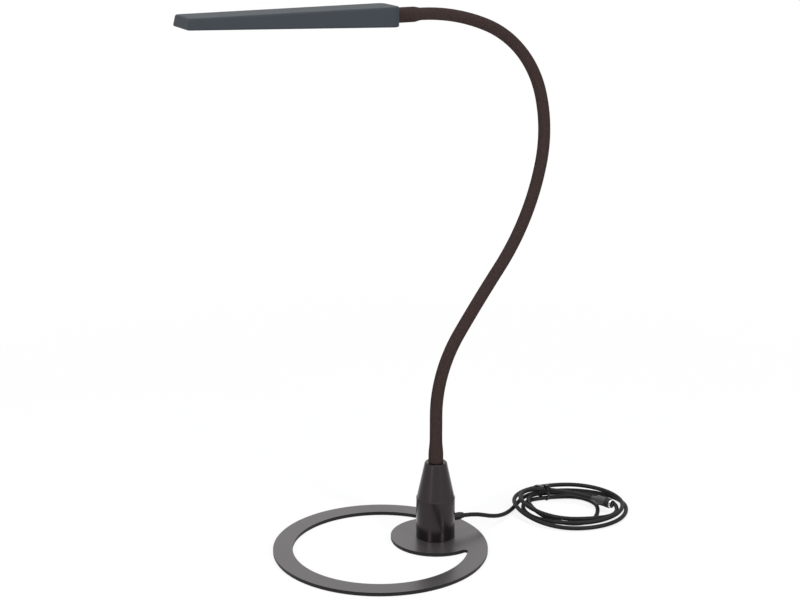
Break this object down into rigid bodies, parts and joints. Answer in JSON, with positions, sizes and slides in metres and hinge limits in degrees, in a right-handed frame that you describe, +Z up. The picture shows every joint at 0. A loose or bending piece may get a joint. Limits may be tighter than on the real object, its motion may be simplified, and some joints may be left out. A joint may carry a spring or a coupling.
{
  "type": "gooseneck desk lamp",
  "caption": "Desk lamp with a slim flat head on a textile covered gooseneck, an open ring base with a round post, and a coiled low-voltage cord.",
  "frame": {"origin": "on the post's axis at desk height, at the underside of the anti-slip mat", "axes": "+Z up, +X from the head's tip towards the cord, in the plane of the neck; +Y to the left of the head seen from behind the post"},
  "size_m": [0.4895, 0.22, 0.553],
  "materials": {
    "mat": "matte anti-slip mat",
    "base_grey": "satin warm grey paint",
    "bronze": "satin bronze black",
    "screw_steel": "plain steel",
    "ferrule": "turned tube",
    "core": "dull steel",
    "textile": "dark brown textile, ribbed",
    "head_slate": "satin slate grey anodised look",
    "diffuser": "milky diffuser",
    "board": "white faced aluminium board",
    "chip": "pale yellow chips",
    "spreader": "bare aluminium",
    "switch": "black",
    "cord_black": "satin black",
    "plug_metal": "bright metal",
    "tie_black": "black nylon"
  },
  "bodies": {
    "base": {"anti_slip_mat": "mat", "base_plate": "base_grey", "post": "bronze", "post_screws": "screw_steel", "cone": "bronze", "ferrule_foot_tube": "ferrule", "neck_nut": "screw_steel", "core_link_0": "core", "sleeve_foot": "textile", "cord_grommet": "cord_black", "cord_lead": "cord_black", "cord_coil": "cord_black", "cable_tie": "tie_black", "plug_body": "cord_black", "plug_collar_ring": "cord_black", "plug_shell_tube": "plug_metal", "plug_core": "cord_black", "plug_pins": "plug_metal"},
    "neck_1": {"core_link_1": "core", "sleeve_bend_1": "textile"},
    "neck_2": {"core_link_2": "core", "sleeve_bend_2": "textile"},
    "neck_3": {"core_link_3": "core", "sleeve_bend_3": "textile"},
    "neck_4": {"core_link_4": "core", "sleeve_bend_4": "textile"},
    "neck_5": {"core_link_5": "core", "sleeve_bend_5": "textile"},
    "head": {"core_link_6": "core", "sleeve_bend_6": "textile", "sleeve_top": "textile", "ferrule_head_tube": "ferrule", "head_nut": "screw_steel", "head_shell": "head_slate", "diffuser": "diffuser", "led_board": "board", "led_1": "chip", "led_2": "chip", "led_3": "chip", "led_4": "chip", "led_5": "chip", "led_6": "chip", "led_7": "chip", "led_8": "chip", "led_9": "chip", "led_10": "chip", "heat_spreader": "spreader", "rear_cover": "head_slate", "switch_case": "switch"},
    "button": {"switch_button": "switch"}
  },
  "joints": [
    {"name": "neck_bend_1", "type": "hinge", "parent": "base", "child": "neck_1", "pos_m": [0, 0, 0.1355], "axis": [0, 1, 0], "range_deg": [-25, 25], "deforming": ["sleeve_bend_1"]},
    {"name": "neck_bend_2", "type": "hinge", "parent": "neck_1", "child": "neck_2", "pos_m": [0.02564, 0, 0.21937], "axis": [-0.829, 0, 0.5592], "range_deg": [-25, 25], "deforming": ["sleeve_bend_2"]},
    {"name": "neck_bend_3", "type": "hinge", "parent": "neck_2", "child": "neck_3", "pos_m": [0.07093, 0, 0.28286], "axis": [0, 1, 0], "range_deg": [-25, 25], "deforming": ["sleeve_bend_3"]},
    {"name": "neck_bend_4", "type": "hinge", "parent": "neck_3", "child": "neck_4", "pos_m": [0.11777, 0, 0.38685], "axis": [0, 1, 0], "range_deg": [-25, 25], "deforming": ["sleeve_bend_4"]},
    {"name": "neck_bend_5", "type": "hinge", "parent": "neck_4", "child": "neck_5", "pos_m": [0.1156, 0, 0.45818], "axis": [-0.9659, 0, -0.2588], "range_deg": [-25, 25], "deforming": ["sleeve_bend_5"]},
    {"name": "neck_bend_6", "type": "hinge", "parent": "neck_5", "child": "head", "pos_m": [0.05322, 0, 0.52931], "axis": [0, 1, 0], "range_deg": [-25, 25], "deforming": ["sleeve_bend_6"]},
    {"name": "button_press", "type": "slide", "parent": "head", "child": "button", "axis": [0.0385, 0, 0.9993], "range_m": [0, 0.001], "stiffness_N_per_m": 400}
  ]
}
